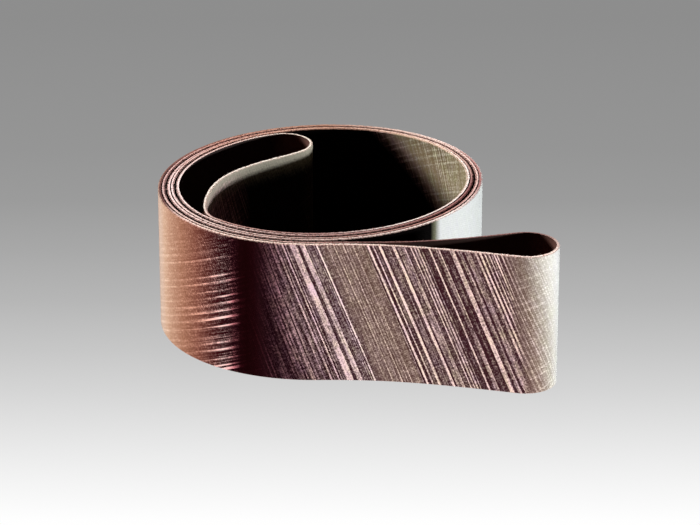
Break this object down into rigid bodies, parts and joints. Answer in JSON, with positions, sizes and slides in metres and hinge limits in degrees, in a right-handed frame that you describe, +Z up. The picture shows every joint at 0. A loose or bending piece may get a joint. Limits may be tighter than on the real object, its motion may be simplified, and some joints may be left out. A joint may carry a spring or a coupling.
{
  "type": "sanding belt",
  "caption": "Endless cloth sanding belt with a structured abrasive coat, pressed into a double strand and coiled on edge, with a loop left open at each end.",
  "frame": {"origin": "middle of the bounding box in plan, on the surface that the coil stands on", "axes": "+X along the longest extent toward the outer loop, +Y away from the outer loop's side, +Z up across the belt's width"},
  "size_m": [0.1364, 0.1212, 0.05],
  "materials": {
    "cloth": "resin-filled woven cloth, matt, pale and fibrous at the cut edges",
    "grit": "mineral grit in resin, pressed into fine rows that lean across the belt, low sheen",
    "tape": "thin film tape"
  },
  "bodies": {
    "root": {"cloth_backing": "cloth", "abrasive_coat": "grit", "splice_tape": "tape"}
  },
  "joints": []
}
